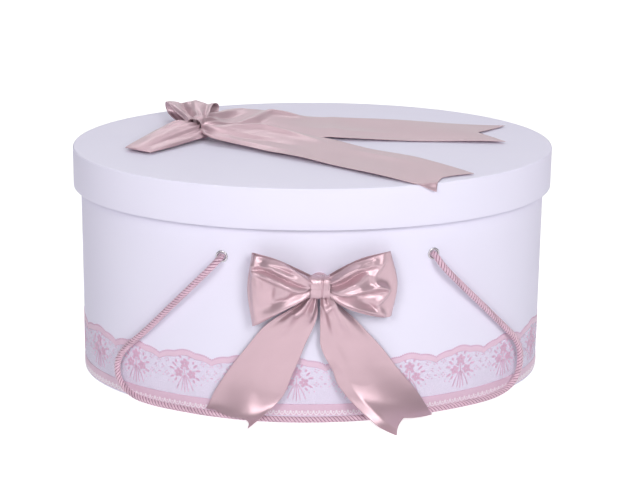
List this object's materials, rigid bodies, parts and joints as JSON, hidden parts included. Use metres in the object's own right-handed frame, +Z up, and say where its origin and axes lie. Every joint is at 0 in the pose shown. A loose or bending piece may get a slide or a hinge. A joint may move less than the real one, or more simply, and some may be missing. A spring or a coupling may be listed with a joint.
{
  "type": "hat box",
  "caption": "Oval rigid-board hat box with a lift-off lid, satin ribbon bows on lid and front, a scalloped lace band and a twisted cord handle through eyelets.",
  "frame": {"origin": "centre of the base's underside, on the surface that the box stands on", "axes": "+Z up, +X along the oval's length, -Y out of the decorated front"},
  "size_m": [0.45, 0.337, 0.2404],
  "materials": {
    "cover_paper": "matt covering paper, white with a faint lilac cast",
    "lining_paper": "plain matt white lining paper",
    "greyboard": "raw greyboard",
    "lace": "pink machine lace on fine net",
    "cord": "twisted satin cord, light and mauve pink",
    "satin_ribbon": "glossy single-face satin, old rose",
    "felt": "white felt",
    "nickel": "bright nickel plate"
  },
  "bodies": {
    "box": {"base_cover": "cover_paper", "wall_cover": "cover_paper", "wall_lining": "lining_paper", "base_lining": "lining_paper", "wall_board": "greyboard", "base_board": "greyboard", "lace_band": "lace", "handle_cord": "cord", "handle_knot_left": "cord", "handle_knot_right": "cord", "front_bow_pad": "felt", "eyelet_front_left": "nickel", "eyelet_washer_front_left": "nickel", "eyelet_front_right": "nickel", "eyelet_washer_front_right": "nickel", "eyelet_back_left": "nickel", "eyelet_washer_back_left": "nickel", "eyelet_back_right": "nickel", "eyelet_washer_back_right": "nickel", "front_bow_loop_left": "satin_ribbon", "front_bow_loop_right": "satin_ribbon", "front_bow_tail_left": "satin_ribbon", "front_bow_tail_right": "satin_ribbon", "front_bow_wrap": "satin_ribbon"},
    "lid": {"lid_top_board": "greyboard", "lid_rim_board": "greyboard", "lid_top_cover": "cover_paper", "lid_rim_cover": "cover_paper", "lid_rim_lining": "lining_paper", "lid_top_lining": "lining_paper", "lid_bow_pad": "felt", "lid_bow_wrap": "satin_ribbon", "lid_bow_loop_back": "satin_ribbon", "lid_bow_loop_front": "satin_ribbon", "lid_bow_tail_back": "satin_ribbon", "lid_bow_tail_front": "satin_ribbon"}
  },
  "joints": [
    {"name": "lid_lift", "type": "slide", "parent": "box", "child": "lid", "axis": [0, 0, 1], "range_m": [0, 0.25]}
  ]
}
